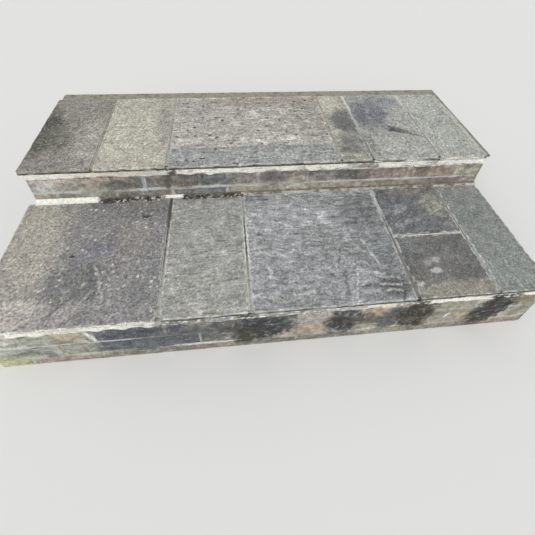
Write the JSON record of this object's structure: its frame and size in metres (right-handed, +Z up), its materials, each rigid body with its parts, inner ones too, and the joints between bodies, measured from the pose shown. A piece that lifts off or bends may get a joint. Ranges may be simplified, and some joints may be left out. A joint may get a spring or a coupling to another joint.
{
  "type": "outdoor stone steps",
  "caption": "Low outdoor steps of riven stone flags on brick risers, built into the corner of a house wall and a side wall.",
  "frame": {"origin": "middle of the steps' footprint at ground level", "axes": "+X right to the side wall, +Y back to the house wall, so the steps are climbed towards +Y; +Z up"},
  "size_m": [1.924, 1.16, 0.414],
  "materials": {
    "brick": "matte",
    "mortar": "matte",
    "weathered_mortar": "matte",
    "fill": "matte",
    "lower_flag_1": "matte",
    "lower_flag_2": "matte",
    "lower_flag_3": "matte",
    "lower_flag_4": "matte",
    "lower_flag_5": "matte",
    "lower_flag_6": "matte",
    "upper_flag_1": "matte",
    "upper_flag_2": "matte",
    "upper_flag_3": "matte",
    "upper_flag_4": "matte",
    "upper_flag_5": "matte",
    "upper_flag_6": "matte"
  },
  "bodies": {
    "root": {"lower_front_course_1": "brick", "lower_front_course_2": "brick", "lower_front_course_3": "brick", "lower_left_courses": "brick", "lower_right_courses": "brick", "lower_back_courses": "brick", "lower_joint_1": "mortar", "lower_joint_2": "mortar", "lower_core": "fill", "lower_bed": "mortar", "lower_flag_1": "lower_flag_1", "lower_flag_2": "lower_flag_2", "lower_flag_3": "lower_flag_3", "lower_flag_4": "lower_flag_4", "lower_flag_5": "lower_flag_5", "lower_flag_6": "lower_flag_6", "lower_pointing": "mortar", "lower_end_joint": "mortar", "upper_front_course_1": "brick", "upper_front_course_2": "brick", "upper_left_courses": "brick", "upper_right_courses": "brick", "upper_back_courses": "brick", "upper_joint": "mortar", "upper_core": "fill", "upper_bed": "mortar", "upper_flag_1": "upper_flag_1", "upper_flag_2": "upper_flag_2", "upper_flag_3": "upper_flag_3", "upper_flag_4": "upper_flag_4", "upper_flag_5": "upper_flag_5", "upper_flag_6": "upper_flag_6", "upper_pointing": "mortar", "side_strip": "weathered_mortar", "back_strip": "weathered_mortar", "upper_end_joint": "mortar", "riser_fillet": "mortar"}
  },
  "joints": []
}
